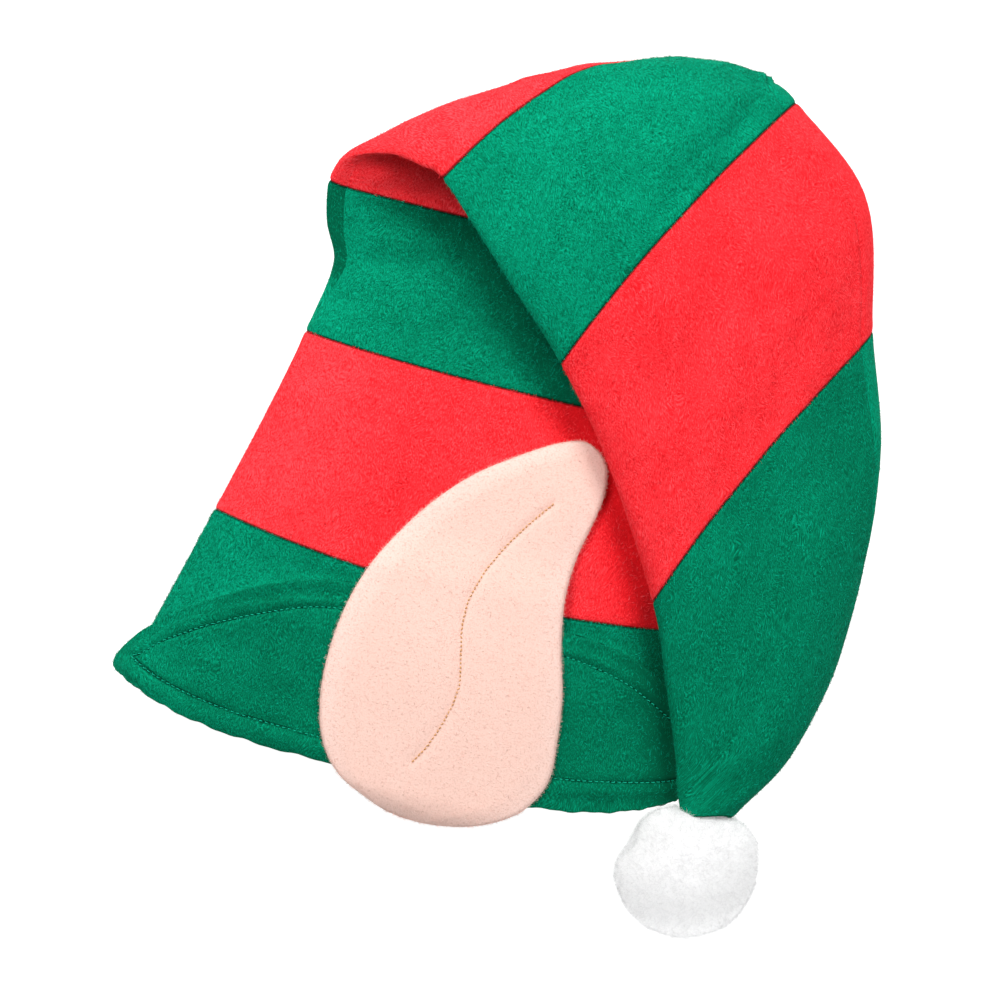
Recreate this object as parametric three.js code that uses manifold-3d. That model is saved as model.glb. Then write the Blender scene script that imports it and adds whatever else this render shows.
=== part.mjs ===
// Striped felt elf hat lying on its side, its crown folded over on top of itself.
// Millimetres, +Z up. +X runs along the hem from the front peak to the back, +Y from the hem to the fold.
import * as THREE from 'three';
import Module from 'manifold-3d';

const wasm = await Module();
wasm.setup();

// Driving sizes
const hemHalf = 138;        // half of the crown's flat width at the hem
const stripe = 100;         // height of one stripe
const loft = 45;            // height of the open mouth, lying down
const felt = 2.0;           // thickness of the crown's felt
const cuffFelt = 3.0;       // the cuff is folded double
const earFelt = 5.0;        // the ears are thick and soft
const gap = 0.3;            // clearance between neighbouring pieces
const hemBow = 19;          // how far the middle of the hem hangs below its ends
const pompomSize = 71;      // diameter of the pompom over its locks
const roundness = 2.3;      // exponent of the flattened cross-section, 2 is an ellipse

// Sections of the crown from the hem (0) to the tip (7), counted in stripes. Each is a flattened ring
// laid along a curve through three points, front, mid and back: x in half hem widths, y in stripes,
// z in lofts. near and far are the puff of each panel in lofts. frontSeam and backSeam say how far
// the side seams have rolled towards the near panel, in degrees.
const sections = table(['at', 'frontX', 'frontY', 'frontZ', 'midX', 'midY', 'midZ',
  'backX', 'backY', 'backZ', 'near', 'far', 'frontSeam', 'backSeam'], [
  [0.00, -1.031, -0.022, 0.32, -0.002, 0.018, 0.32, 1.000, 0.063, 0.32, 0.56, 0.12, 0, 0],
  [0.50, -0.944, 0.469, 0.31, -0.014, 0.434, 0.31, 0.920, 0.438, 0.31, 0.56, 0.10, 0, 0],
  [1.00, -0.879, 0.858, 0.29, -0.023, 0.756, 0.29, 0.841, 0.855, 0.29, 0.53, 0.08, 2, 0],
  [1.50, -0.798, 1.348, 0.27, -0.018, 1.335, 0.27, 0.781, 1.349, 0.27, 0.48, 0.11, 6, 0],
  [2.00, -0.726, 1.841, 0.27, -0.016, 1.804, 0.24, 0.712, 1.855, 0.22, 0.40, 0.12, 16, 0],
  [2.50, -0.692, 2.213, 0.40, -0.005, 2.215, 0.21, 0.690, 2.244, 0.16, 0.28, 0.14, 24, 0],
  [2.75, -0.750, 2.392, 0.58, -0.022, 2.416, 0.19, 0.700, 2.425, 0.14, 0.20, 0.15, 24, 0],
  [3.00, -0.772, 2.582, 0.80, -0.040, 2.609, 0.18, 0.699, 2.605, 0.13, 0.16, 0.15, 24, 0],
  [3.25, -0.724, 2.712, 1.04, -0.047, 2.885, 0.32, 0.700, 2.871, 0.14, 0.13, 0.29, 22, 0],
  [3.50, -0.573, 2.769, 1.20, -0.042, 3.183, 0.41, 0.704, 3.138, 0.16, 0.12, 0.33, 20, -4],
  [3.75, -0.451, 2.744, 1.29, 0.045, 3.333, 0.53, 0.706, 3.360, 0.18, 0.11, 0.31, 18, -10],
  [4.00, -0.375, 2.715, 1.29, 0.115, 3.413, 0.71, 0.708, 3.510, 0.24, 0.11, 0.24, 18, -18],
  [4.25, -0.214, 2.517, 1.27, 0.233, 3.342, 1.00, 0.687, 3.618, 0.28, 0.12, 0.24, 18, -24],
  [4.50, -0.059, 2.322, 1.22, 0.300, 3.120, 1.18, 0.667, 3.613, 0.34, 0.14, 0.28, 18, -30],
  [5.00, 0.199, 1.994, 1.16, 0.459, 2.849, 1.11, 0.777, 3.572, 0.36, 0.16, 0.32, 18, -34],
  [5.50, 0.452, 1.585, 1.04, 0.750, 2.412, 0.98, 1.112, 3.208, 0.31, 0.16, 0.34, 18, -34],
  [6.00, 0.737, 0.984, 0.91, 0.950, 1.814, 0.84, 1.259, 2.578, 0.27, 0.18, 0.34, 16, -34],
  [6.40, 0.871, 0.570, 0.87, 1.155, 1.215, 0.78, 1.410, 1.907, 0.27, 0.22, 0.32, 14, -30],
  [6.70, 0.969, 0.243, 0.84, 1.244, 0.573, 0.80, 1.429, 1.019, 0.40, 0.24, 0.28, 8, -18],
  [6.86, 0.999, 0.112, 0.84, 1.182, 0.237, 0.82, 1.357, 0.441, 0.60, 0.24, 0.25, 4, -6],
  [7.00, 1.033, 0.010, 0.84, 1.111, 0.028, 0.84, 1.211, 0.047, 0.82, 0.24, 0.24, 0, 0],
]);

// Dents and pulls pressed into the felt: place in stripes and in degrees round the section, depth in
// felt thicknesses (outwards above zero), reach along in stripes and round in degrees.
const dents = table(['at', 'turn', 'depth', 'along', 'round'], [
  [2.35, 60, -1.2, 0.16, 30],
  [2.60, 130, -1.6, 0.10, 26],
  [1.55, 100, 1.0, 0.30, 24],
  [4.55, 290, 1.6, 0.22, 16],
  [5.45, 250, -1.4, 0.16, 18],
  [6.15, 300, -1.4, 0.16, 18],
  [6.45, 265, 1.2, 0.16, 20],
]);

// Upper edge of the cuff: place across the flat hat in half widths, height in stripes of the crown.
const cuffEdge = table(['across', 'height'], [
  [-1.00, 0.13], [-0.97, 0.25], [-0.90, 0.39], [-0.75, 0.56], [-0.55, 0.775], [-0.34, 0.89],
  [-0.05, 0.93], [0.25, 0.935], [0.54, 0.92], [0.68, 0.89], [0.80, 0.84], [0.94, 0.70], [1.00, 0.60],
]);
const cuffReach = 10;       // how far the cuff's peak stands out beyond the crown
const peakAt = 0.10;        // height of the peak, and how far it reaches up and down, in stripes
const peakTall = 0.21;
const hemLip = 1.6;         // the cuff's folded edge below the crown's felt

// Outline of the ear in sections from the lobe to the tip: place along it and how far it reaches to
// the front and to the back of its axis, all in ear lengths.
const earSections = table(['along', 'front', 'back'], [
  [0.000, -0.170, -0.060], [0.020, -0.252, 0.022], [0.060, -0.319, 0.100], [0.130, -0.371, 0.171],
  [0.210, -0.401, 0.197], [0.310, -0.420, 0.179], [0.420, -0.424, 0.145], [0.530, -0.409, 0.095],
  [0.640, -0.372, 0.058], [0.740, -0.324, 0.046], [0.830, -0.263, 0.049], [0.910, -0.186, 0.047],
  [0.965, -0.125, 0.030], [1.000, -0.072, -0.009],
]);
const earLength = 203;
const earFootX = 0.21;      // start of the ear's axis at the lobe, in half hem widths
const earFootY = -0.38;     // the same in stripes
const earTurn = 81.6;       // direction of the axis
const lobeDrop = 7;         // how far the lobe sags below the cuff's edge

function table(columns, rows) {
  return rows.map((row) => Object.fromEntries(columns.map((name, i) => [name, row[i]])));
}

// Smooth reading of one column of a table at a place between its rows.
function read(rows, key, name, x) {
  let i = 0;
  while (i < rows.length - 2 && x > rows[i + 1][key]) i++;
  const [a, b] = [rows[i], rows[i + 1]];
  const before = rows[Math.max(i - 1, 0)];
  const after = rows[Math.min(i + 2, rows.length - 1)];
  const h = b[key] - a[key];
  const t = (x - a[key]) / h;
  const slopeA = h * (b[name] - before[name]) / (b[key] - before[key]);
  const slopeB = h * (after[name] - a[name]) / (after[key] - a[key]);
  if (t <= 0) return a[name] + slopeA * t;
  if (t >= 1) return b[name] + slopeB * (t - 1);
  return a[name] * (1 + 2 * t) * (1 - t) ** 2 + slopeA * t * (1 - t) ** 2
    + b[name] * t * t * (3 - 2 * t) + slopeB * t * t * (t - 1);
}

const section = (name, at) => read(sections, 'at', name, at);

// Middle surface of the flattened crown: across runs from -1 (front edge) to 1 (back edge).
function middle(at, across) {
  const weights = [across * (across - 1) / 2, 1 - across * across, across * (across + 1) / 2];
  const mix = (axis) => ['front', 'mid', 'back'].reduce((sum, end, i) => sum + weights[i] * section(end + axis, at), 0);
  const hang = at < 1 ? hemBow * (1 - across ** 4) * (1 - at) ** 2 : 0;
  return new THREE.Vector3(hemHalf * mix('X'), stripe * mix('Y') - hang, loft * mix('Z'));
}

function nearDirection(at, across) {
  const e = 0.02;
  const reach = Math.min(Math.max(across, -0.98), 0.98);
  const round = middle(at, reach + e).sub(middle(at, reach - e));
  const along = middle(at + e, reach).sub(middle(at - e, reach));
  return round.cross(along).normalize();
}

function dentAt(at, turn) {
  let depth = 0;
  for (const d of dents) {
    const away = ((turn - d.turn + 540) % 360) - 180;
    depth += d.depth * Math.exp(-(((at - d.at) / d.along) ** 2) - (away / d.round) ** 2);
  }
  return depth * felt;
}

// A point of the crown. turn goes round the section: 0 the back edge, 90 the near panel, 180 the front
// edge, 270 the far panel. out moves it off the outer surface, reach widens the front end.
function crownPoint(at, turn, out = 0, reach = 0) {
  const c = Math.cos(turn * Math.PI / 180);
  const s = Math.sin(turn * Math.PI / 180);
  const across = Math.sign(c) * Math.abs(c) ** (2 / roundness);
  const rise = Math.sign(s) * Math.abs(s) ** (2 / roundness);
  const front = middle(at, -1);
  const back = middle(at, 1);
  const half = front.distanceTo(back) / 2;
  const wide = (half + out + (c < 0 ? reach : 0)) / half;
  const puff = loft * section(s > 0 ? 'near' : 'far', at) + out + dentAt(at, turn);
  const p = middle(at, across);
  const sideways = back.sub(front).normalize();
  p.addScaledVector(sideways, across * half * (wide - 1));
  p.addScaledVector(nearDirection(at, across), rise * puff);
  p.z = flattened(p.z - restHeight + out) + restHeight - out;
  return p;
}

// Felt that would sink below the surface the hat lies on is flattened on it instead.
const restHeight = 0.4;
const flattened = (z) => (z > 8 ? z : 1.2 * Math.log(1 + Math.exp(z / 1.2)));

// Closed sheet from two grids of points, the outer one and the inner one.
function sheetMesh(outer, inner) {
  const rows = outer.length;
  const cols = outer[0].length;
  const verts = [...outer.flat(), ...inner.flat()];
  const n = rows * cols;
  const id = (side, i, j) => side * n + i * cols + j;
  const tris = [];
  const quad = (a, b, c, d) => tris.push(a, b, c, a, c, d);
  for (let i = 0; i < rows - 1; i++) {
    for (let j = 0; j < cols - 1; j++) {
      quad(id(0, i, j), id(0, i, j + 1), id(0, i + 1, j + 1), id(0, i + 1, j));
      quad(id(1, i, j), id(1, i + 1, j), id(1, i + 1, j + 1), id(1, i, j + 1));
    }
  }
  for (let j = 0; j < cols - 1; j++) {
    quad(id(0, 0, j), id(1, 0, j), id(1, 0, j + 1), id(0, 0, j + 1));
    quad(id(0, rows - 1, j), id(0, rows - 1, j + 1), id(1, rows - 1, j + 1), id(1, rows - 1, j));
  }
  for (let i = 0; i < rows - 1; i++) {
    quad(id(0, i, 0), id(0, i + 1, 0), id(1, i + 1, 0), id(1, i, 0));
    quad(id(0, i, cols - 1), id(1, i, cols - 1), id(1, i + 1, cols - 1), id(0, i + 1, cols - 1));
  }
  return geometry(verts, tris);
}

function geometry(verts, tris) {
  const g = new THREE.BufferGeometry();
  g.setAttribute('position', new THREE.Float32BufferAttribute(verts.flatMap((p) => [p.x, p.y, p.z]), 3));
  g.setIndex(tris);
  return volume(g) < 0 ? geometry(verts, flip(tris)) : g;
}

function flip(tris) {
  const out = [];
  for (let i = 0; i < tris.length; i += 3) out.push(tris[i], tris[i + 2], tris[i + 1]);
  return out;
}

function volume(g) {
  const p = g.attributes.position;
  const at = (i) => new THREE.Vector3().fromBufferAttribute(p, g.index.getX(i));
  let v = 0;
  for (let i = 0; i < g.index.count; i += 3) v += at(i).dot(at(i + 1).cross(at(i + 2))) / 6;
  return v;
}

// Draws the outermost rows and columns of a grid in, so that neighbours keep the gap.
function drawIn(grid, by) {
  const last = grid[0].length - 1;
  for (const row of grid) {
    row[0] = step(row[0], row[1], by);
    row[last] = step(row[last], row[last - 1], by);
  }
  const end = grid.length - 1;
  for (let j = 0; j <= last; j++) {
    grid[0][j] = step(grid[0][j], grid[1][j], by);
    grid[end][j] = step(grid[end][j], grid[end - 1][j], by);
  }
  return grid;
}

const step = (a, b, by) => a.clone().add(b.clone().sub(a).setLength(by));

const spread = (a, b, n) => Array.from({ length: n + 1 }, (_, i) => a + (b - a) * i / n);

function stripeSheet(number, side, steps) {
  const grid = (out) => drawIn(spread(number - 1, number, steps).map((at) => {
    const back = section('backSeam', at);
    const front = 180 - section('frontSeam', at);
    const turns = side === 'near' ? spread(back, front, aroundSteps) : spread(front, 360 + back, aroundSteps);
    return turns.map((turn) => crownPoint(at, turn, out));
  }), gap / 2);
  return sheetMesh(grid(0), grid(-felt));
}

const aroundSteps = 16;
const stripeSteps = [6, 6, 8, 9, 6, 7, 8];

// One half of the turned-up cuff, outside the crown's first stripe.
function cuffSheet(side) {
  const turns = side === 'near' ? spread(0, 180, 22) : spread(180, 360, 22);
  const grid = (out) => drawIn(spread(0, 1, 5).map((up) => turns.map((turn) => {
    const c = Math.cos(turn * Math.PI / 180);
    const across = Math.sign(c) * Math.abs(c) ** (2 / roundness);
    const at = -hemLip / stripe + up * (read(cuffEdge, 'across', 'height', across) + hemLip / stripe);
    const reach = cuffReach * Math.max(0, 1 - ((at - peakAt) / peakTall) ** 2);
    return crownPoint(at, turn, out, reach);
  })), gap / 2);
  return sheetMesh(grid(gap + 0.2 + cuffFelt), grid(gap + 0.2));
}

// Height of the ears' bed on the near side at a place of the flat hat, over the cuff and the crown.
function bedHeight(x, y) {
  let at = y / stripe;
  let across = x / hemHalf;
  let p;
  for (let k = 0; k < 14; k++) {
    const turn = Math.acos(Math.sign(across) * Math.abs(across) ** (roundness / 2)) * 180 / Math.PI;
    const bare = smooth((at - read(cuffEdge, 'across', 'height', across) - 0.10) / 0.25);
    p = crownPoint(at, turn, gap + 0.2 + (cuffFelt + gap) * (1 - bare));
    at += (y - p.y) / stripe;
    across = Math.min(Math.max(across + (x - p.x) / hemHalf, -0.95), 0.95);
  }
  return p.z - lobeDrop * Math.max(0, (-1.15 * hemBow - y) / (0.72 * hemBow)) ** 2;
}

const smooth = (t) => (t <= 0 ? 0 : t >= 1 ? 1 : t * t * (3 - 2 * t));

// An ear: a soft sheet with rounded edges, laid on a bed whose height is given.
function earSheet(bed, scale) {
  const axis = new THREE.Vector2(Math.cos(earTurn * Math.PI / 180), Math.sin(earTurn * Math.PI / 180));
  const place = (along, side) => new THREE.Vector2(
    earFootX * hemHalf + earLength * (axis.x * along + axis.y * side),
    earFootY * stripe + earLength * (axis.y * along - axis.x * side),
  );
  const center = place(0.5, -0.15);
  const grid = (top) => earSections.map(({ along, front, back }) => spread(0, 1, 10).map((t) => {
    const p = place(along, front + (back - front) * t).sub(center).multiplyScalar(scale).add(center);
    const edge = Math.min(1, 4 * Math.min(along, 1 - along) + 0.25, 4 * t * (1 - t) + 0.25);
    return new THREE.Vector3(p.x, p.y, bed(p.x, p.y) + (top ? earFelt * (0.55 + 0.45 * edge) : 0));
  }));
  return sheetMesh(grid(true), grid(false));
}

function solid(g) {
  const mesh = new wasm.Mesh({
    numProp: 3,
    vertProperties: new Float32Array(g.attributes.position.array),
    triVerts: new Uint32Array(g.index.array),
  });
  mesh.merge();
  return new wasm.Manifold(mesh);
}

function fromSolid(s) {
  const m = s.getMesh();
  const verts = [];
  for (let i = 0; i < m.vertProperties.length; i += m.numProp) {
    verts.push(new THREE.Vector3(m.vertProperties[i], m.vertProperties[i + 1], m.vertProperties[i + 2]));
  }
  return geometry(verts, Array.from(m.triVerts));
}

// The pompom: locks of wool fused to a head, with a socket where the tip of the hat goes in.
const pompomLean = -0.02;   // its middle sideways of the tip's end, in pompom sizes
const pompomDrop = -0.42;   // and below it
const locks = 34;
function pompomBody() {
  const r = pompomSize / 2;
  const tip = middle(7, 0);
  const middleOf = [tip.x + pompomLean * pompomSize, tip.y + pompomDrop * pompomSize, r - gap];
  let body = wasm.Manifold.sphere(r * 0.82, 12);
  for (let i = 0; i < locks; i++) {
    const up = 1 - 2 * (i + 0.5) / locks;
    const thick = r * (0.36 + 0.05 * Math.sin(i * 1.7));
    const lock = wasm.Manifold.sphere(1, 8).scale([thick * 0.72, thick * 1.15, thick])
      .rotate([9 * Math.sin(i * 2.4), 0, i * 53]).translate([0, 0, r - thick])
      .rotate([0, Math.acos(up) * 180 / Math.PI, i * 137.5]);
    body = body.add(lock);
  }
  const above = wasm.Manifold.cube([4 * r, 4 * r, 4 * r]).translate([-2 * r, -2 * r, -r]);
  return body.intersect(above).translate(middleOf).subtract(plug(spread(6.7, 7, 4), 0, 345, gap))
    .subtract(plug([-0.04, 0.1, 0.25], -70, 70, cuffFelt + 2 * gap + 0.2));
}

// A stretch of the crown as a filled body, out bigger all round, to be taken out of the pompom.
function plug(places, fromTurn, toTurn, out) {
  const rings = places.map((at) => spread(fromTurn, toTurn, 23).map((turn) => crownPoint(at, turn, out)));
  const last = rings.length - 1;
  rings.push(rings[last].map((p, j) => p.clone().add(p.clone().sub(rings[last - 1][j]).setLength(gap))));
  const bodies = rings.slice(1).map((ring, i) => (
    wasm.Manifold.hull([...rings[i], ...ring].map((p) => [p.x, p.y, p.z]))));
  return wasm.Manifold.union(bodies);
}

const green = 0x00875f;
const red = 0xf42d37;
const skin = 0xfcdacb;
const white = 0xf5f5f5;

const hat = new THREE.Group();
hat.name = 'elf_hat';

function piece(name, g, color) {
  const mesh = new THREE.Mesh(g, new THREE.MeshStandardMaterial({ color, roughness: 0.95 }));
  mesh.name = name;
  hat.add(mesh);
}

for (const side of ['near', 'far']) {
  stripeSteps.forEach((steps, i) => {
    piece(`${side}_stripe_${i + 1}`, stripeSheet(i + 1, side, steps), i % 2 ? red : green);
  });
  piece(`cuff_${side}`, cuffSheet(side), green);
}
piece('ear_near', earSheet(bedHeight, 1), skin);
piece('ear_far', earSheet(() => 0, 0.97), skin);
piece('pompom', fromSolid(pompomBody()), white);

// The origin is the bottom centre of the whole hat.
const box = new THREE.Box3().setFromObject(hat, true);
const origin = box.getCenter(new THREE.Vector3()).setZ(box.min.z);
hat.traverse((m) => m.geometry?.translate(-origin.x, -origin.y, -origin.z));

export default hat;
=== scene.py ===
import math

import bpy
import numpy as np
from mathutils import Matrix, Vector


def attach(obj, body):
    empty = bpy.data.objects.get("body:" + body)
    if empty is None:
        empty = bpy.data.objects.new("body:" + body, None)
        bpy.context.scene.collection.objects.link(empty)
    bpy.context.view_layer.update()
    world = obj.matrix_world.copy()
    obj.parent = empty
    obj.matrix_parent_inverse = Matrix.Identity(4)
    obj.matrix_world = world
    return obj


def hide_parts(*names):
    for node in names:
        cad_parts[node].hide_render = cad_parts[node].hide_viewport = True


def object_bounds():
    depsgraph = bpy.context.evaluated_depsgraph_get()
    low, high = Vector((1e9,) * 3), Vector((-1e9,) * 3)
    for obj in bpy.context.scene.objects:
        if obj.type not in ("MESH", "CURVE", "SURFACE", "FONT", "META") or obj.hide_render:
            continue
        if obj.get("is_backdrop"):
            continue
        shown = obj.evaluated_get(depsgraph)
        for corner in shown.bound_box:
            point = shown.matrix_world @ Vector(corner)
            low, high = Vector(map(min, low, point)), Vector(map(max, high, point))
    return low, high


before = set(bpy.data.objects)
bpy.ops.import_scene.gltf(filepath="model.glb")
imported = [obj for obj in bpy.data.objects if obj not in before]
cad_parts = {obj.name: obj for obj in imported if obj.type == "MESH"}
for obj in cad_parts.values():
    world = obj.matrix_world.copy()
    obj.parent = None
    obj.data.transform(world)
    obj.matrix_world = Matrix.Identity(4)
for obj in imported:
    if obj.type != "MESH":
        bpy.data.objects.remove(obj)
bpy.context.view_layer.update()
bpy.ops.object.select_all(action="DESELECT")

# ---------------------------------------------------------------------------------------------
# The studio: a light table with white paper under the hat, two soft boxes beyond its fold, to the
# left and to the right, and a small card below the pompom. The camera looks straight down, turned
# 15 degrees.
camera_height = 1.5
camera_place = (-0.00737, -0.02539)
camera_turn = 15

camera = bpy.data.objects.new("camera", bpy.data.cameras.new("camera"))
bpy.context.scene.collection.objects.link(camera)
camera.location = (*camera_place, camera_height)
camera.rotation_euler = (0, 0, math.radians(camera_turn))
camera.data.sensor_width = 36
camera.data.lens = 106.56
bpy.context.scene.camera = camera
bpy.context.scene.view_settings.view_transform = "Standard"

bpy.ops.mesh.primitive_grid_add(x_subdivisions=12, y_subdivisions=12, size=7, location=(0, 0, 0))
paper = bpy.context.object
paper.name = "paper_floor"
paper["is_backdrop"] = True


class Look:
    """A value or colour inside a finish. Arithmetic on it adds Math nodes."""

    def __init__(self, nodes, socket=None):
        self.nodes, self.socket = nodes, socket

    def node(self, kind, settings, sockets, out=0):
        """One more node of the finish: its settings first, then values or links of its sockets."""
        made = self.nodes.new(kind)
        for key, value in settings.items():
            if key == "stops":
                ramp = made.color_ramp.elements
                for k, (place, colour) in enumerate(value):
                    stop = ramp[k] if k < len(ramp) else ramp.new(place)
                    stop.position, stop.color = place, (*colour, 1)
            else:
                setattr(made, key, value)
        for key, value in sockets.items():
            if isinstance(value, Look):
                self.nodes.id_data.links.new(value.socket, made.inputs[key])
            else:
                made.inputs[key].default_value = value
        return Look(self.nodes, made.outputs[out])

    def maths(self, operation, *values):
        return self.node("ShaderNodeMath", {"operation": operation}, dict(enumerate(values)))

    def __add__(self, other):
        return self.maths("ADD", self, other)

    def __sub__(self, other):
        return self.maths("SUBTRACT", self, other)

    def __rsub__(self, other):
        return self.maths("SUBTRACT", other, self)

    def __mul__(self, other):
        return self.maths("MULTIPLY", self, other)

    def __truediv__(self, other):
        return self.maths("DIVIDE", self, other)

    def __pow__(self, other):
        return self.maths("POWER", self, other)

    __radd__, __rmul__ = __add__, __mul__

    def clamped(self, low, high):
        """0 at low, 1 at high and smooth between them."""
        return self.node("ShaderNodeMapRange", {"interpolation_type": "SMOOTHSTEP"},
                         {"Value": self, "From Min": low, "From Max": high})

    def stretched(self, across, along, turn=0.0):
        """A place on the cloth, counted so many times finer across and along, after a turn."""
        return self.node("ShaderNodeMapping", {}, {
            "Vector": self, "Rotation": (0, 0, math.radians(turn)), "Scale": (across, along, across)})

    def clouds(self, scale, detail=2.0, rough=0.5, kind="FBM"):
        return self.node("ShaderNodeTexNoise", {"noise_type": kind}, {
            "Vector": self, "Scale": scale, "Detail": detail, "Roughness": rough})

    def between(self, one, other):
        """One colour where this is 0, the other where it is 1."""
        return self.node("ShaderNodeMix", {"data_type": "RGBA"}, {0: self, 6: one, 7: other}, 2)


def finish(name, rough, sheen=0.0, tint=(1, 1, 1), specular=0.5, soft=0.0):
    """A new material with its constants set on the shader; returns it, a start for its nodes and a
    function that joins what changes over the surface."""
    material = bpy.data.materials.new(name)
    material.use_nodes = True
    nodes = material.node_tree.nodes
    shader = nodes["Principled BSDF"]
    shader.inputs["Roughness"].default_value = rough
    shader.inputs["Sheen Weight"].default_value = sheen
    shader.inputs["Sheen Roughness"].default_value = 0.45
    shader.inputs["Sheen Tint"].default_value = (*tint, 1)
    shader.inputs["Specular IOR Level"].default_value = specular

    def join(**sockets):
        for key, value in sockets.items():
            material.node_tree.links.new(value.socket, shader.inputs[key.replace("_", " ")])
    return material, Look(nodes), join


def paper_finish():
    """White matt photo paper on a light table, faintly cloudy."""
    material, start, join = finish("photo_paper", 0.9, specular=0.1)
    shader = material.node_tree.nodes["Principled BSDF"]
    shader.inputs["Emission Color"].default_value = (1, 1, 1, 1)
    shader.inputs["Emission Strength"].default_value = 0.96
    place = start.node("ShaderNodeTexCoord", {}, {}, "Object")
    join(Base_Color=place.clouds(1.5, 3).between((0.34, 0.34, 0.34, 1), (0.37, 0.37, 0.37, 1)))
    return material


paper.data.materials.append(paper_finish())

world = bpy.data.worlds.new("studio")
world.use_nodes = True
world.node_tree.nodes["Background"].inputs["Color"].default_value = (1, 1, 1, 1)
world.node_tree.nodes["Background"].inputs["Strength"].default_value = 0.22
bpy.context.scene.world = world

for name, width, power, place, target in (
        ("left_box", 0.8, 24, (-0.85, 0.60, 1.35), (0, 0, 0)),
        ("right_box", 0.8, 19, (0.42, 0.95, 1.35), (0, 0, 0)),
        ("low_card", 0.08, 0.06, (0.1627, -0.2684, 0.05), (0.1321, -0.1837, 0.03))):
    box = bpy.data.objects.new(name, bpy.data.lights.new(name, "AREA"))
    bpy.context.scene.collection.objects.link(box)
    box.data.size, box.data.energy = width, power
    box.location = place
    toward = Vector([t - p for t, p in zip(target, place)])
    box.rotation_euler = toward.to_track_quat("-Z", "Y").to_euler()

# ---------------------------------------------------------------------------------------------
# The crown: two side panels, each sewn from seven stripes of brushed felt, green first, then
# joined along both sides with the seams inside. It lies flat and its upper half is folded
# over, so the far panel shows on the flap. Each stripe is a closed sheet with the felt's nap.
hem_half = 0.138            # half of the flat width at the hem
stripe = 0.100              # height of one stripe
loft = 0.045                # height of the open mouth, lying down
felt = 0.0020
gap = 0.0003
hem_bow = 0.019             # how far the middle of the hem hangs below its ends
roundness = 2.3             # exponent of the flattened cross-section
rest_height = 0.0004
origin = (0.02328, 0.15248)  # middle of the whole hat, from the middle of the hem

# Sections of the crown from the hem (0) to the tip (7), counted in stripes, as in the CAD model:
# x in half hem widths, y in stripes, z and the puff of each panel in lofts, seams in degrees.
crown = {
    "at": [0, .5, 1, 1.5, 2, 2.5, 2.75, 3, 3.25, 3.5, 3.75, 4, 4.25, 4.5, 5, 5.5, 6, 6.4, 6.7, 6.86, 7],
    "front_x": [-1.031, -.944, -.879, -.798, -.726, -.692, -.75, -.772, -.724, -.573, -.451, -.375,
                -.214, -.059, .199, .452, .737, .871, .969, .999, 1.033],
    "front_y": [-.022, .469, .858, 1.348, 1.841, 2.213, 2.392, 2.582, 2.712, 2.769, 2.744, 2.715,
                2.517, 2.322, 1.994, 1.585, .984, .57, .243, .112, .01],
    "front_z": [.32, .31, .29, .27, .27, .40, .58, .80, 1.04, 1.20, 1.29, 1.29, 1.27, 1.22, 1.16,
                1.04, .91, .87, .84, .84, .84],
    "mid_x": [-.002, -.014, -.023, -.018, -.016, -.005, -.022, -.04, -.047, -.042, .045, .115, .233,
              .30, .459, .75, .95, 1.155, 1.244, 1.182, 1.111],
    "mid_y": [.018, .434, .756, 1.335, 1.804, 2.215, 2.416, 2.609, 2.885, 3.183, 3.333, 3.413,
              3.342, 3.12, 2.849, 2.412, 1.814, 1.215, .573, .237, .028],
    "mid_z": [.32, .31, .29, .27, .24, .21, .19, .18, .32, .41, .53, .71, 1.00, 1.18, 1.11, .98, .84,
              .78, .80, .82, .84],
    "back_x": [1, .92, .841, .781, .712, .69, .7, .699, .7, .704, .706, .708, .69, .694, .777,
               1.112, 1.259, 1.41, 1.429, 1.357, 1.211],
    "back_y": [.063, .438, .855, 1.349, 1.855, 2.244, 2.425, 2.605, 2.871, 3.138, 3.36, 3.51, 3.618,
               3.623, 3.572, 3.208, 2.578, 1.907, 1.019, .441, .047],
    "back_z": [.32, .31, .29, .27, .22, .16, .14, .13, .14, .16, .18, .24, .28, .34, .36, .31, .27,
               .27, .40, .60, .82],
    "near": [.56, .56, .53, .48, .40, .28, .20, .16, .13, .12, .11, .11, .12, .14, .16, .16, .18,
             .22, .24, .24, .24],
    "far": [.12, .10, .08, .11, .12, .14, .15, .15, .29, .33, .31, .24, .24, .28, .32, .34, .34,
            .32, .28, .25, .24],
    "front_seam": [0, 0, 1, 2, 6, 21, 24, 24, 22, 20, 18, 18, 18, 18, 18, 18, 16, 14, 8, 4, 0],
    "back_seam": [0, 0, 0, 0, 0, 0, 0, 0, 0, -4, -10, -18, -24, -30, -34, -34, -34, -30, -18, -6, 0],
}

# Dents pressed into the felt: place in stripes, turn in degrees, depth in felts, reach in stripes
# and in degrees.
dents = [
    (2.35, 60, -1.2, .16, 30), (2.60, 130, -1.6, .10, 26), (1.55, 100, 1.0, .30, 24),
    (4.55, 290, 1.6, .22, 16), (5.45, 250, -1.4, .16, 18), (6.15, 300, -1.4, .16, 18),
    (6.45, 265, 1.2, .16, 20),
]

# Shallow waves of handled felt: wave length, direction in degrees, height.
waves = [
    (.061, 20, .00050), (.047, 75, .00045), (.038, 130, .00038), (.029, 48, .00028),
    (.023, 110, .00022), (.017, 160, .00015), (.013, 95, .00010),
]


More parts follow.
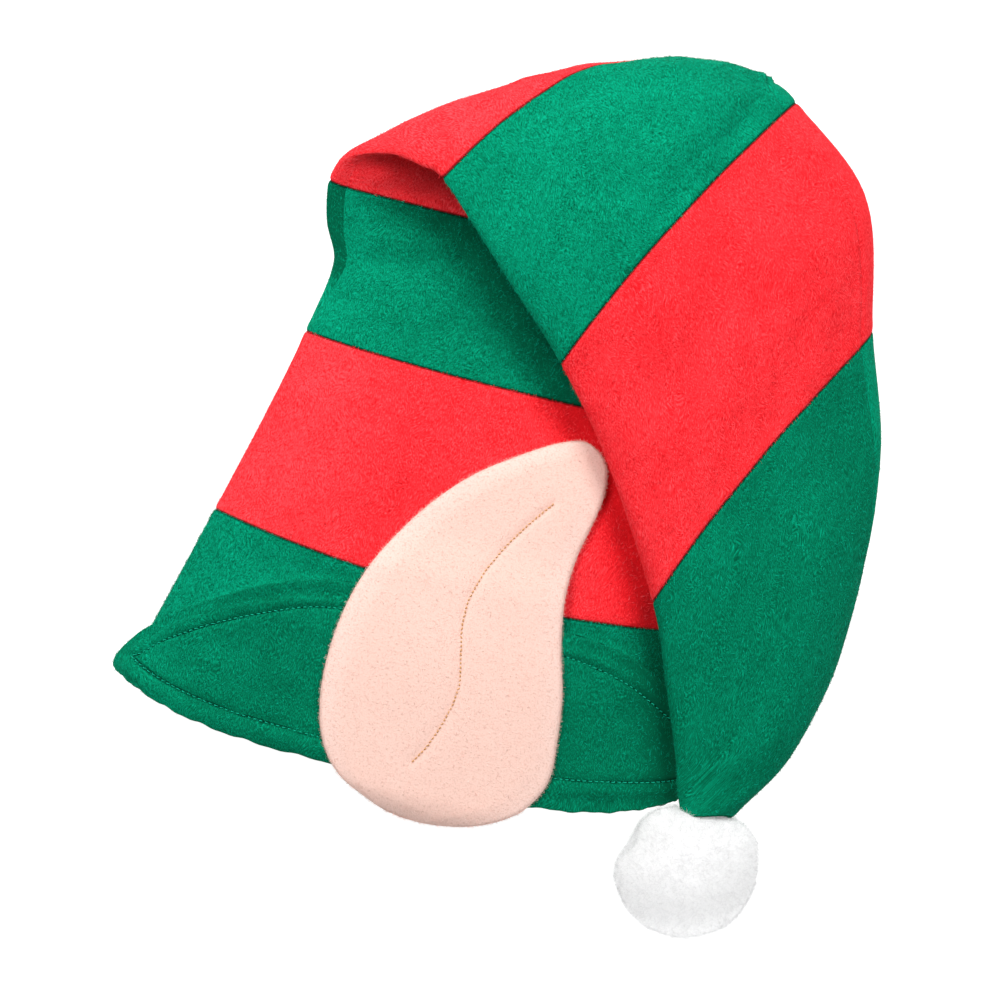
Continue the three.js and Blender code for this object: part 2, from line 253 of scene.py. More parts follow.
def read(table, key, name, x):
    """Smooth reading of one column of a table at places between its rows."""
    keys, values = np.array(table[key], float), np.array(table[name], float)
    last = len(keys) - 1
    i = np.clip(np.searchsorted(keys[1:], x), 0, last - 1)
    low, high = np.maximum(np.arange(last + 1) - 1, 0), np.minimum(np.arange(last + 1) + 1, last)
    slopes = (values[high] - values[low]) / (keys[high] - keys[low])
    h = keys[i + 1] - keys[i]
    t = (x - keys[i]) / h
    a, b, sa, sb = values[i], values[i + 1], slopes[i] * h, slopes[i + 1] * h
    inside = (a * (1 + 2 * t) * (1 - t) ** 2 + sa * t * (1 - t) ** 2
              + b * t * t * (3 - 2 * t) + sb * t * t * (t - 1))
    return np.where(t <= 0, a + sa * t, np.where(t >= 1, b + sb * (t - 1), inside))


def smooth(t):
    t = np.clip(t, 0, 1)
    return t * t * (3 - 2 * t)


def unit(v):
    return v / np.maximum(np.linalg.norm(v, axis=-1, keepdims=True), 1e-12)


def middle(at, across):
    """Middle surface of the flattened crown, from the front edge (-1) to the back edge (1)."""
    ends = (across * (across - 1) / 2, 1 - across ** 2, across * (across + 1) / 2)

    def mix(axis):
        return sum(w * read(crown, "at", end + axis, at) for w, end in zip(ends, ("front", "mid", "back")))
    hang = np.where(at < 1, hem_bow * (1 - across ** 4) * (1 - at) ** 2, 0)
    return np.stack([hem_half * mix("_x"), stripe * mix("_y") - hang, loft * mix("_z")], -1)


def near_side(at, across):
    """Direction out of the crown on its near side."""
    e, reach = 0.02, np.clip(across, -0.98, 0.98)
    return unit(np.cross(middle(at, reach + e) - middle(at, reach - e),
                         middle(at + e, reach) - middle(at - e, reach)))


def crown_point(at, turn, out=0.0, reach=0.0, handled=True):
    """A point of the crown: turn 0 is the back edge, 90 the near panel, 180 the front edge, 270 the
    far panel. out moves it off the outer surface, reach widens the front end."""
    at, turn, out = np.broadcast_arrays(np.asarray(at, float), turn, out)
    c, s = np.cos(np.radians(turn)), np.sin(np.radians(turn))
    across = np.sign(c) * np.abs(c) ** (2 / roundness)
    rise = np.sign(s) * np.abs(s) ** (2 / roundness)
    front, back = middle(at, -1.0), middle(at, 1.0)
    half = np.linalg.norm(back - front, axis=-1) / 2
    wide = (half + out + np.where(c < 0, reach, 0)) / half
    puff = loft * np.where(s > 0, read(crown, "at", "near", at), read(crown, "at", "far", at)) + out
    for place, round_at, depth, along, round_by in dents:
        away = (turn - round_at + 540) % 360 - 180
        puff = puff + depth * felt * np.exp(-((at - place) / along) ** 2 - (away / round_by) ** 2)
    if handled:
        for k, (length, direction, height) in enumerate(waves):
            run = (across * half * math.cos(math.radians(direction))
                   + at * stripe * math.sin(math.radians(direction)))
            puff = puff + height * np.sin(run * 2 * math.pi / length + k * 1.9 + np.where(s > 0, 0, 2.3))
    p = middle(at, across)
    p = p + unit(back - front) * (across * half * (wide - 1))[..., None]
    p = p + near_side(at, across) * (rise * puff)[..., None]
    z = p[..., 2] - rest_height + out
    p[..., 2] = np.where(z > .008, z, .0012 * np.log1p(np.exp(np.minimum(z, .02) / .0012))) + rest_height - out
    return p


def placed(p):
    """From the hem's middle to the middle of the whole hat."""
    return p - np.array([*origin, 0.0])


def fine_ends(start, end, count, edge, length):
    """Places from start to end, with extra ones close to both ends. edge lists their distances and
    length is the whole distance, both in metres."""
    near = [e / length for e in edge]
    inner = np.linspace(near[-1], 1 - near[-1], count)
    return start + (end - start) * np.array([0, *near[:-1], *inner, *[1 - e for e in near[:-1][::-1]], 1])


def run_lengths(grid, axis):
    """Distance run along one axis of a grid of points."""
    steps = np.linalg.norm(np.diff(grid, axis=axis), axis=-1)
    start = np.zeros_like(np.take(steps, [0], axis))
    return np.concatenate([start, np.cumsum(steps, axis)], axis)


def mesh_piece(name, points, faces, materials, maps=None, marks=None, slots=None):
    """A piece from points and faces. maps is a place on the flat cloth for each point, marks are
    named values for each point, slots gives the material of each face."""
    mesh = bpy.data.meshes.new(name)
    sizes = np.full(len(faces), faces.shape[1]) if isinstance(faces, np.ndarray) else np.array([len(f) for f in faces])
    loops = faces.ravel() if isinstance(faces, np.ndarray) else np.concatenate(faces)
    mesh.vertices.add(len(points))
    mesh.vertices.foreach_set("co", np.asarray(points, np.float32).ravel())
    mesh.loops.add(len(loops))
    mesh.loops.foreach_set("vertex_index", loops.astype(np.int32))
    mesh.polygons.add(len(sizes))
    mesh.polygons.foreach_set("loop_start", (np.cumsum(sizes) - sizes).astype(np.int32))
    mesh.polygons.foreach_set("use_smooth", np.ones(len(sizes), bool))
    if slots is not None:
        mesh.polygons.foreach_set("material_index", slots.astype(np.int32))
    if maps is not None:
        layer = mesh.uv_layers.new(name="cloth")
        layer.data.foreach_set("uv", np.asarray(maps, np.float32)[loops].ravel())
    for key, values in (marks or {}).items():
        mesh.attributes.new(key, "FLOAT", "POINT").data.foreach_set("value", np.asarray(values, np.float32).ravel())
    for material in materials:
        mesh.materials.append(material)
    mesh.update()
    mesh.validate()
    piece = bpy.data.objects.new(name, mesh)
    bpy.context.scene.collection.objects.link(piece)
    return piece


def sheet_faces(rows, cols):
    """Faces of a closed sheet from an outer and an inner grid of points."""
    i, j = np.meshgrid(np.arange(rows - 1), np.arange(cols - 1), indexing="ij")
    a = (i * cols + j).ravel()
    n = rows * cols
    outer = np.stack([a, a + 1, a + cols + 1, a + cols], 1)
    inner = np.stack([a, a + cols, a + cols + 1, a + 1], 1) + n
    j = np.arange(cols - 1)
    top = (rows - 1) * cols + j
    i = np.arange(rows - 1) * cols
    side = i + cols - 1
    rims = [np.stack([j, j + n, j + n + 1, j + 1], 1), np.stack([top, top + 1, top + 1 + n, top + n], 1),
            np.stack([i, i + cols, i + cols + n, i + n], 1),
            np.stack([side, side + n, side + cols + n, side + cols], 1)]
    return np.concatenate([outer, inner, *rims])


def outward(points, faces):
    """The faces turned so that the closed shape has them facing out."""
    a, b, c, d = (points[faces[:, k]] for k in range(4))
    volume = (np.einsum("ij,ij->i", a, np.cross(b, c)) + np.einsum("ij,ij->i", a, np.cross(c, d))).sum()
    return faces if volume > 0 else faces[:, ::-1]


def facing(grid, toward):
    """Directions off a grid of points, on the side of toward."""
    n = unit(np.cross(np.gradient(grid, axis=0), np.gradient(grid, axis=1)))
    return n if np.einsum("ijk,ijk->ij", n, toward - grid).mean() > 0 else -n


def nap(name, grid, normals, count, length, lift, width, shades, seed, comb=(0.0, 1.0), stray=50, bend=35,
        thick=None):
    """Loose fibres of brushed cloth: each is a narrow bent strip of three faces, rooted in the
    surface of a grid and combed along it, with a stray angle. thick is how thickly they grow."""
    random = np.random.default_rng(seed)
    rows, cols = grid.shape[:2]
    du = np.linalg.norm(np.diff(grid, axis=1), axis=-1)[:-1]
    dv = np.linalg.norm(np.diff(grid, axis=0), axis=-1)[:, :-1]
    area = (du * dv * (1 if thick is None else thick[:-1, :-1])).ravel()
    cell = random.choice(area.size, count, p=area / area.sum())
    i, j = np.divmod(cell, cols - 1)
    f, g = random.random(count)[:, None], random.random(count)[:, None]

    def spot(values):
        return ((values[i, j] * (1 - g) + values[i, j + 1] * g) * (1 - f)
                + (values[i + 1, j] * (1 - g) + values[i + 1, j + 1] * g) * f)
    root, up = spot(grid), unit(spot(normals))
    across, along = unit(grid[i, j + 1] - grid[i, j]), unit(grid[i + 1, j] - grid[i, j])
    swirl = 35 * np.sin(root[:, 0] * 61 + 1.3 * np.sin(root[:, 1] * 47)) + 25 * np.sin(root[:, 1] * 83 + 2)
    turn = np.radians(swirl + random.normal(0, stray, count))[:, None]
    combed, sideways = comb[0] * across + comb[1] * along, comb[1] * across - comb[0] * along
    ahead = unit(combed * np.cos(turn) + sideways * np.sin(turn))
    ahead = unit(ahead - up * np.einsum("ij,ij->i", ahead, up)[:, None])
    aside = np.cross(up, ahead)
    long = (length * random.uniform(0.5, 1.25, count))[:, None]
    rise = (lift * random.uniform(0.1, 1.6, count))[:, None]
    bent = np.radians(random.normal(0, bend, count))[:, None]
    roll = np.radians(random.normal(0, 30, count))[:, None]
    flat = aside * np.cos(roll) + up * np.sin(roll)
    base = root - up * 0.00015
    knee = root + ahead * long * 0.5 + up * rise
    lifted = random.uniform(-0.6, 0.9, count)[:, None]
    tip = knee + (ahead * np.cos(bent) + aside * np.sin(bent)) * long * 0.5 + up * rise * lifted
    wide = (width * random.uniform(0.6, 1.2, count))[:, None]
    points = np.stack([base - flat * wide / 2, base + flat * wide / 2, knee + flat * wide * 0.4,
                       knee - flat * wide * 0.4, tip], 1)
    points = points[points[:, :, 2].min(1) > 0.0001]
    count = len(points)
    start = np.arange(count)[:, None] * 5
    quads = (start + np.array([0, 1, 2, 3])).ravel()
    tips = (start + np.array([3, 2, 4])).ravel()
    mesh = bpy.data.meshes.new(name)
    mesh.vertices.add(count * 5)
    mesh.vertices.foreach_set("co", points.astype(np.float32).ravel())
    mesh.loops.add(count * 7)
    mesh.loops.foreach_set("vertex_index", np.concatenate([quads, tips]).astype(np.int32))
    mesh.polygons.add(count * 2)
    loop_starts = np.concatenate([np.arange(count) * 4, count * 4 + np.arange(count) * 3])
    mesh.polygons.foreach_set("loop_start", loop_starts.astype(np.int32))
    shade = random.choice(len(shades), count, p=[0.22, 0.34, 0.29, 0.15])
    mesh.polygons.foreach_set("material_index", np.concatenate([shade, shade]).astype(np.int32))
    for material in shades:
        mesh.materials.append(material)
    mesh.update()
    piece = bpy.data.objects.new(name, mesh)
    bpy.context.scene.collection.objects.link(piece)
    return piece


def cut_area(grid):
    """Area of the cloth that a grid of points covers."""
    one, other = grid[1:, 1:] - grid[:-1, :-1], grid[1:, :-1] - grid[:-1, 1:]
    return float(np.linalg.norm(np.cross(one, other), axis=-1).sum() / 2)


seam_light = 0.16           # share of its colour that the felt keeps in the painted shade inside a seam


def felt_finish(name, deep, mid, pale, tint):
    """Brushed wool-mix felt: crossing streaks of fibres along a swirling nap, soft light and dark
    patches where it was handled, painted light and shade on each stripe, and painted shade along
    the pressed line at each sewn edge, which has tiny puckers."""
    material, start, join = finish(name, 0.92, sheen=0.10, tint=tint, specular=0.03)
    cloth = start.node("ShaderNodeUVMap", {"uv_map": "cloth"}, {}, "UV")
    drift = cloth.node("ShaderNodeVectorMath", {"operation": "SUBTRACT"}, {
        0: cloth.node("ShaderNodeTexNoise", {}, {"Vector": cloth, "Scale": 38.0, "Detail": 2.0}, "Color"),
        1: (0.5, 0.5, 0.5)})
    swirled = cloth.node("ShaderNodeVectorMath", {"operation": "MULTIPLY_ADD"}, {
        0: drift, 1: (0.022, 0.022, 0.0), 2: cloth})
    combed = swirled.stretched(2200, 600).clouds(1.0, 3, 0.6)
    crossed = swirled.stretched(1900, 620, 48).clouds(1.0, 2, 0.6)
    back = swirled.stretched(2000, 640, -44).clouds(1.0, 2, 0.6)
    grain = cloth.clouds(2400, 2, 0.6)
    patch = cloth.clouds(110, 3, 0.55)
    wide_patch = cloth.clouds(22, 2)
    fibres = combed * 0.42 + crossed * 0.22 + back * 0.20 + grain * 0.16
    # The painted light and shade of each stripe, from the mesh.
    painted_shading = start.node("ShaderNodeAttribute", {"attribute_name": "painted_light"}, {}, "Fac")
    tone = (fibres - 0.5) * 5.0 + (patch - 0.5) * 0.30 + (wide_patch - 0.5) * 0.35 + painted_shading + 0.5
    colour = tone.node("ShaderNodeValToRGB", {"stops": [(0.08, deep), (0.5, mid), (0.92, pale)]}, {0: tone})
    edge = start.node("ShaderNodeAttribute", {"attribute_name": "seam"}, {}, "Fac")
    # Painted shade along the sewn edges, the stitch lines and the foot of the cuff.
    sunk = 1 - edge.clamped(0.0003, 0.0012)
    dark = tuple(c * seam_light for c in deep) + (1,)
    join(Base_Color=(sunk * 0.85).between(colour, dark), Roughness=0.80 + fibres * 0.22)
    pucker = cloth.stretched(2100, 2100).clouds(0.25, 1)
    relief = fibres * 0.8 + grain * 0.2 + pucker * (1 - edge.clamped(0.0008, 0.004)) * 0.5
    join(Normal=relief.node("ShaderNodeBump", {}, {"Strength": 0.7, "Distance": 0.0006, "Height": relief}))
    return material


def fibre_finish(name, colour, rough=0.8, sheen=0.10):
    """One even colour for a strand."""
    tint = tuple(min(1, c * 1.8) for c in colour)
    material = finish(name, rough, sheen=sheen, tint=tint, specular=0.03)[0]
    material.node_tree.nodes["Principled BSDF"].inputs["Base Color"].default_value = (*colour, 1)
    return material


def shades(name, colours, **settings):
    """Strand colours from dark to light, numbered from 1."""
    return [fibre_finish(f"{name}_{k + 1}", colour, **settings) for k, colour in enumerate(colours)]


felts = {
    "green": felt_finish("green_felt", (0.0002, 0.098, 0.047), (0.0005, 0.215, 0.108), (0.0015, 0.38, 0.215),
                         (0.0, 0.75, 0.5)),
    "red": felt_finish("red_felt", (0.66, 0.008, 0.013), (0.90, 0.024, 0.033), (0.95, 0.075, 0.090),
                       (1, 0.25, 0.25)),
}
fibres = {
    "green": shades("green_fibre", [(0.0003, 0.11, 0.053), (0.0005, 0.20, 0.10), (0.001, 0.30, 0.16),
                                    (0.004, 0.44, 0.28)]),
    "red": shades("red_fibre", [(0.64, 0.009, 0.014), (0.87, 0.021, 0.030), (0.93, 0.046, 0.057),
                                (0.96, 0.11, 0.13)]),
}

# Upper edge of the cuff, along which a painted shadow line lies on the first stripe: place across the
# flat hat in half widths, height in stripes.
cuff_edge = {
    "across": [-1, -.97, -.90, -.75, -.55, -.34, -.05, .25, .54, .68, .80, .94, 1],
    "height": [.10, .23, .38, .56, .775, .89, .93, .935, .92, .89, .84, .70, .60],
}

# Painted light and shade on each stripe, lighter above zero and darker below, for how the light falls
# on each stripe. Painted shadows darken it beside the flap's edge and below the pocket, to deepen the
# soft shadows there.
painted_light = {"near": [-.10, .02, -.06, .06, 0, 0, 0], "far": [0, 0, .10, .10, .04, 0, -.18]}
flap_shade, flap_shade_wide = 0.75, 0.013
pocket_shade, pocket_shade_tall = 0.4, 0.13
front_light = 0.17          # painted light: the front of the near panel is lighter
strip_shade = 0.50          # painted shade: the far panel's strip along the left edge of stripe 3 is darker


def beside_flap(p):
    """1 for points right below the edge of the flap, 0 far from it."""
    edge = middle(np.linspace(4.1, 6.9, 60), -1.0)[:, :2]
    away = np.linalg.norm(p[..., None, :2] - edge, axis=-1).min(-1)
    return np.exp(-(away / flap_shade_wide) ** 2)


def bump(x, centre, width):
    """1 at the centre, falling off over the width."""
    return np.exp(-((x - centre) / width) ** 2)


def painted_light_on_stripe(side, number, at, turn, bare):
    """The painted light and shade at each point of one stripe."""
    painted_shading = painted_light[side][number - 1] + np.zeros(turn.shape)
    if side == "far" and number == 3:
        painted_shading = painted_shading - strip_shade * smooth((187 - turn) / 6) * smooth((at - 2.30) / 0.15)
    if side == "near" and number < 4:
        painted_shading = painted_shading + front_light * smooth((turn - 105) / 45) - flap_shade * beside_flap(bare)
    if side == "near" and number == 3:
        painted_shading = painted_shading - pocket_shade * bump(at, 3, pocket_shade_tall) * smooth((145 - turn) / 25)
    return painted_shading


seam_reach = (0.0005, 0.0011, 0.0018, 0.0028, 0.0042)
columns = {"near": [112, 104, 100, 84, 48, 44, 36], "far": [56, 52, 50, 92, 92, 84, 60]}
rows = {"near": [38, 38, 42, 38, 18, 20, 20], "far": [18, 18, 20, 44, 40, 42, 42]}
loose_fibres = {"near": [8000, 20000, 18000, 8000, 2000, 2500, 2000],
                "far": [2000, 2000, 2500, 12000, 18000, 16000, 10000]}
fibre_long, fibre_wide = 0.0029, 0.00017


def cuff_top(turn):
    c = np.cos(np.radians(turn))
    return read(cuff_edge, "across", "height", np.sign(c) * np.abs(c) ** (2 / roundness))


def stripe_piece(side, number):
    """One stripe of a panel with its nap."""
    count = (columns[side][number - 1], rows[side][number - 1])
    ats = fine_ends(number - 1, number, count[1], seam_reach, stripe)
    back, front = read(crown, "at", "back_seam", ats), 180 - read(crown, "at", "front_seam", ats)
    ends = (back, front) if side == "near" else (front, 360 + back)
    share = fine_ends(0, 1, count[0], seam_reach, 0.28)
    turn = ends[0][:, None] + (ends[1] - ends[0])[:, None] * share[None]
    at = np.broadcast_to(ats[:, None], turn.shape)
    bare = crown_point(at, turn, 0.0)
    around, along = run_lengths(bare, 1), run_lengths(bare, 0)
    to_side = np.minimum(around, around[:, -1:] - around)
    to_band = np.minimum(along if number > 1 else np.full_like(along, 1), along[-1:] - along)
    to_edge = np.minimum(to_side, to_band)
    sunk = (0.0006 * bump(to_band, 0, 0.0009) - 0.0002 * bump(to_band, 0.0035, 0.0020)
            + 0.0005 * bump(to_side, 0, 0.0013) - 0.0004 * bump(to_side, 0.0038, 0.0020))
    outer = crown_point(at, turn, -sunk)
    inner = crown_point(at, turn, -felt - 0.0002 * bump(to_edge, 0, 0.001))
    points = placed(np.concatenate([outer.reshape(-1, 3), inner.reshape(-1, 3)]))
    faces = outward(points, sheet_faces(*turn.shape))
    painted_shading = painted_light_on_stripe(side, number, at, turn, bare)
    # Painted shade along the stripe's sewn edges; on the first stripe also a painted shadow along the foot of the
    # cuff.
    dark = np.minimum(to_band, to_side + 0.0009)
    if number == 1:
        dark = np.minimum(dark, np.abs(at - cuff_top(turn)) * stripe)
    flat = np.stack([around - around[:, -1:] / 2, along + (number - 1) * stripe], -1).reshape(-1, 2)
    dye = "red" if number % 2 == 0 else "green"
    piece = mesh_piece(f"{side}_felt_{number}", points, faces, [felts[dye]], np.concatenate([flat, flat]),
                       {"seam": np.concatenate([dark.ravel(), to_edge.ravel() + 0.004]),
                        "painted_light": np.concatenate([painted_shading.ravel(), painted_shading.ravel()])})
    away = facing(placed(outer), placed(outer + (outer - inner)))
    shown = 1 - 0.85 * bump(to_band, 0, 0.0008)
    if number == 1:
        shown = shown * (at > cuff_top(turn) + 0.022)
    loose = nap(f"{side}_nap_{number}", placed(outer), away, loose_fibres[side][number - 1], fibre_long,
                0.00040, fibre_wide, fibres[dye], seed=number + (20 if side == "far" else 0), thick=shown)
    for made in (piece, loose):
        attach(made, "root")
    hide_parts(f"{side}_stripe_{number}")
    cut_area(bare)


for side in ("near", "far"):
    for number in range(1, 8):
        stripe_piece(side, number)

# ---------------------------------------------------------------------------------------------
# The cuff: the same green felt, folded double, turned up over the first stripe and topstitched
# along its hem and its curved upper edge in a brighter green thread. It peaks at the front and
# is sewn to the hem all round.
cuff_felt = 0.0030
cuff_reach = 0.0056         # how far the peak stands out beyond the crown
peak_at, peak_up, peak_down = 0.05, 0.24, 0.12   # its height and its reach up and down, in stripes
hem_lip = 0.0016
cuff_half_run = 0.30        # length of one half of the cuff along the hem
stitch_lines = {
    "across": [-1, -.95, -.90, -.80, -.61, -.40, -.10, .25, .54, .74, .85, 1],
    "upper": [.10, .105, .227, .358, .52, .665, .745, .775, .77, .705, .63, .47],
    "hem": [.09, .09, .083, .078, .076, .076, .080, .100, .125, .137, .135, .12],
}
stitch_pitch = 0.00295
stitch_long, stitch_thick = 0.0019, 0.00062
cuff_painted_shade = -0.23            # painted shade: the cuff's felt is darker than the crown's
thread_finish = fibre_finish("bright_green_thread", (0.008, 0.42, 0.26), rough=0.6, sheen=0.05)


def cuff_point(at, turn, out):
    reach = cuff_reach * np.where(at > peak_at, np.maximum(0, 1 - (at - peak_at) / peak_up),
                                  np.maximum(0, 1 - ((at - peak_at) / peak_down) ** 2))
    return crown_point(at, turn, out, reach)


def cuff_lines(turn):
    """Heights of the two stitch lines in stripes; at the peak they meet."""
    c = np.cos(np.radians(turn))
    across = np.sign(c) * np.abs(c) ** (2 / roundness)
    return [read(stitch_lines, "across", row, across) for row in ("upper", "hem")]


def cuff_piece(side, count, fibres_count, seed):
    """One half of the cuff with its rounded edges, its pressed stitch lines and its nap."""
    start, end = (0, 180) if side == "near" else (180, 360)
    turns = fine_ends(start, end, count[0], seam_reach, cuff_half_run)
    high = cuff_top(turns)
    low = (-hem_lip + 0.0003 * np.sin(turns * 0.55) + 0.0002 * np.sin(turns * 1.13 + 1)) / stripe
    fold = (0.00008, 0.0003, 0.0007, 0.0013, 0.0020)
    share = np.stack([fine_ends(0, 1, count[1], fold, max(tall * stripe, 0.008))
                      for tall in high - low - hem_lip / stripe], 1)
    at, turn = low[None] + share * (high - low)[None], np.broadcast_to(turns[None], share.shape)
    to_edge = np.minimum(at - low[None], high[None] - at) * stripe
    to_side = np.minimum(turns - turns[0], turns[-1] - turns)[None] / 180 * cuff_half_run
    round_off = np.sqrt(1 - (1 - np.clip(to_edge / 0.0015, 0, 1)) ** 2)
    lines = [np.abs(at - line[None]) * stripe for line in cuff_lines(turns)]
    sewn_here = smooth((np.abs(turns - 180) - 13) / 8)[None]
    pressed = sum(0.0014 * bump(away, 0, 0.0010) for away in lines) * sewn_here
    to_line = np.minimum(*lines)
    upper, hem = cuff_lines(turns)
    beyond = (at > upper[None]) | (at < hem[None])
    puffed = np.where(beyond, 0.0018, 0.0006) * bump(to_line, 0.0045, 0.0035)
    sewn = 0.0005 * bump(to_side, 0, 0.0015)
    stands = (0.0020 if side == "near" else 0.0004) * smooth(to_side / 0.030)
    puffed = puffed * smooth(to_side / 0.016 + 0.15) * sewn_here
    centre = gap + 0.0002 + cuff_felt / 2 + stands * bump((high[None] - at) * stripe, 0, 0.008)
    outer = cuff_point(at, turn, centre + cuff_felt / 2 * round_off - pressed * round_off + puffed - sewn)
    inner = cuff_point(at, turn, centre - cuff_felt / 2 * round_off)
    points = placed(np.concatenate([outer.reshape(-1, 3), inner.reshape(-1, 3)]))
    around, along = run_lengths(outer, 1), run_lengths(outer, 0)
    flat = np.stack([around - around[:, -1:] / 2, along + 0.9], -1).reshape(-1, 2)
    # Painted shade along the stitch lines and at the sewn ends of this half.
    mark = np.minimum(to_side + 0.0007, to_line + 0.0001 + 0.003 * (1 - sewn_here)).ravel()
    # Painted shade darkens the cuff, with a painted shadow beside the flap's edge on the near half; painted light
    # lightens it towards the front.
    painted_shading = cuff_painted_shade - (flap_shade * beside_flap(outer) if side == "near" else np.zeros(at.shape))
    painted_shading = painted_shading + 0.10 * smooth((turn - 110) / 45) * smooth((250 - turn) / 45)
    piece = mesh_piece(f"cuff_{side}_felt", points, outward(points, sheet_faces(*at.shape)), [felts["green"]],
                       np.concatenate([flat, flat]),
                       {"seam": np.concatenate([mark, mark + 0.004]),
                        "painted_light": np.concatenate([painted_shading.ravel(), painted_shading.ravel()])})
    away = facing(placed(outer), placed(outer + (outer - inner) + 1e-9))
    shown = (1 - 0.97 * bump(to_line, 0, 0.0024)) * (1 - 0.9 * bump(to_edge, 0, 0.0016))
    loose = nap(f"cuff_{side}_nap", placed(outer), away, fibres_count, fibre_long, 0.00035, fibre_wide,
                fibres["green"], seed=seed, thick=shown)
    for made in (piece, loose):
        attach(made, "root")
    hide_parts(f"cuff_{side}")
    cut = {"flat": (float(around[:, -1].max()), float(along[-1].max())), "area": cut_area(outer)}
    return piece, loose, cut


def topstitch(name, path, normals, pitch, length, thick, materials, sink=0.3, wobble=0.0, seed=1):
    """A row of thread stitches along a path: each is a short bowed strand that dives into the cloth
    at both ends."""
    random = np.random.default_rng(seed)
    run = np.concatenate([[0], np.cumsum(np.linalg.norm(np.diff(path, axis=0), axis=1))])
    count = int(run[-1] / pitch)
    starts = (np.arange(count) + 0.5) * run[-1] / count

    def at(s, values):
        return np.stack([np.interp(s, run, values[:, k]) for k in range(3)], -1)
    steps, around = np.linspace(-1, 1, 6), np.linspace(0, 2 * math.pi, 6)[:-1]
    half = length / 2 * random.uniform(0.85, 1.1, count)
    s = starts[:, None] + steps[None] * half[:, None]
    centre, up = at(s, path), unit(at(s, normals))
    ahead = unit(at(s + 1e-4, path) - at(s - 1e-4, path))
    aside = np.cross(up, ahead)
    lean = random.normal(0, wobble, count)[:, None] * steps[None]
    bow = thick * ((1 - steps ** 2) * 1.1 - sink - 0.9 * steps ** 4)
    centre = centre + up * bow[None, :, None] + aside * lean[..., None] * thick
    girth = thick / 2 * np.sqrt(np.clip(1 - steps ** 4, 0.03, 1))
    round_sin, round_cos = np.sin(around)[None, None, :, None], np.cos(around)[None, None, :, None]
    ring = up[:, :, None] * round_sin + aside[:, :, None] * round_cos
    points = (centre[:, :, None] + ring * girth[None, :, None, None]).reshape(-1, 3)
    k = len(around)
    i, j = np.meshgrid(np.arange(len(steps) - 1), np.arange(k), indexing="ij")
    quads = np.stack([i * k + j, i * k + (j + 1) % k, (i + 1) * k + (j + 1) % k, (i + 1) * k + j], -1)
    quads, each = quads.reshape(-1, 4), len(steps) * k
    sides = (quads[None] + np.arange(count)[:, None, None] * each).reshape(-1, 4)
    first = np.arange(k)[::-1][None] + np.arange(count)[:, None] * each
    last = np.arange(each - k, each)[None] + np.arange(count)[:, None] * each
    faces = [*sides, *first, *last]
    return mesh_piece(name, points, faces, materials)


def cuff_stitches(side):
    """The two rows of topstitching on one half of the cuff, as one piece."""
    turns = np.linspace(1.5, 162.5, 240) if side == "near" else np.linspace(197.5, 358.5, 240)
    rows_made = []
    for k, line in enumerate(cuff_lines(turns)):
        surface = cuff_point(line, turns, gap + 0.0002 + cuff_felt - 0.0005)
        above = cuff_point(line, turns, gap + 0.0002 + cuff_felt + 0.001)
        rows_made.append(topstitch(f"cuff_{side}_stitches_{k}", placed(surface), unit(above - surface),
                                   stitch_pitch, stitch_long, stitch_thick, [thread_finish], wobble=0.2, seed=50 + k))
    return joined(f"cuff_{side}_stitches", rows_made)


def joined(name, parts):
    """Several made parts as one piece."""
    bpy.ops.object.select_all(action="DESELECT")
    for part in parts:
        part.select_set(True)
    bpy.context.view_layer.objects.active = parts[0]
    bpy.ops.object.join()
    parts[0].name = name
    bpy.ops.object.select_all(action="DESELECT")
    return parts[0]


for side, count, fibres_count, seed in (("near", (150, 56), 15000, 41), ("far", (80, 30), 2500, 42)):
    piece, loose, cut = cuff_piece(side, count, fibres_count, seed)
    thread = cuff_stitches(side)
    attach(thread, "root")

# ---------------------------------------------------------------------------------------------
# The ears: thick soft flannel in a pale skin shade, cut to a pointed leaf, with one curved line
# of tan thread down the middle. Each is tacked to the cuff and lies flat.
ear_felt = 0.0050
ear_length = 0.203
ear_foot = (0.21 * hem_half, -0.38 * stripe)
ear_turn = 81.6
lobe_drop = 0.004
ear_outline = {
    "along": [-.0075, 0, .02, .04, .06, .09, .13, .21, .31, .42, .53, .64, .74, .83, .91, .965, .985, 1, 1.008],
    "front": [-.135, -.175, -.252, -.292, -.319, -.346, -.371, -.401, -.42, -.424, -.409, -.372, -.324, -.263,
              -.186, -.125, -.098, -.072, -.050],
    "back": [-.105, -.045, .022, .067, .10, .137, .171, .197, .179, .145, .095, .058, .046, .049, .047, .030,
             .012, -.009, -.034],
}
ear_line = [(.84, -.058), (.771, -.094), (.701, -.124), (.622, -.148), (.539, -.157), (.478, -.146), (.4, -.115),
            (.346, -.094), (.29, -.091), (.232, -.097), (.174, -.109), (.128, -.127)]


def bed_height(x, y):
    """Height of the near side of the lying hat, over the cuff and the crown, where the ear lies."""
    at, across = y / stripe, x / hem_half
    for _ in range(14):
        turn = np.degrees(np.arccos(np.clip(np.sign(across) * np.abs(across) ** (roundness / 2), -1, 1)))
        bare = smooth((at - read(cuff_edge, "across", "height", across) - 0.10) / 0.25)
        p = crown_point(at, turn, gap + 0.0010 + (cuff_felt + gap) * (1 - bare), handled=False)
        at = at + (y - p[..., 1]) / stripe
        across = np.clip(across + (x - p[..., 0]) / hem_half, -0.95, 0.95)
    return p[..., 2] - lobe_drop * np.maximum(0, (-1.15 * hem_bow - y) / (0.72 * hem_bow)) ** 2


def ear_place(along, side, scale):
    """A place of the flat ear in the hat's plan."""
    axis = (math.cos(math.radians(ear_turn)), math.sin(math.radians(ear_turn)))

    def plan(a, s):
        return np.stack([ear_foot[0] + ear_length * (axis[0] * a + axis[1] * s),
                         ear_foot[1] + ear_length * (axis[1] * a - axis[0] * s)], -1)
    centre = plan(0.5, -0.15)
    return (plan(along, side) - centre) * scale + centre


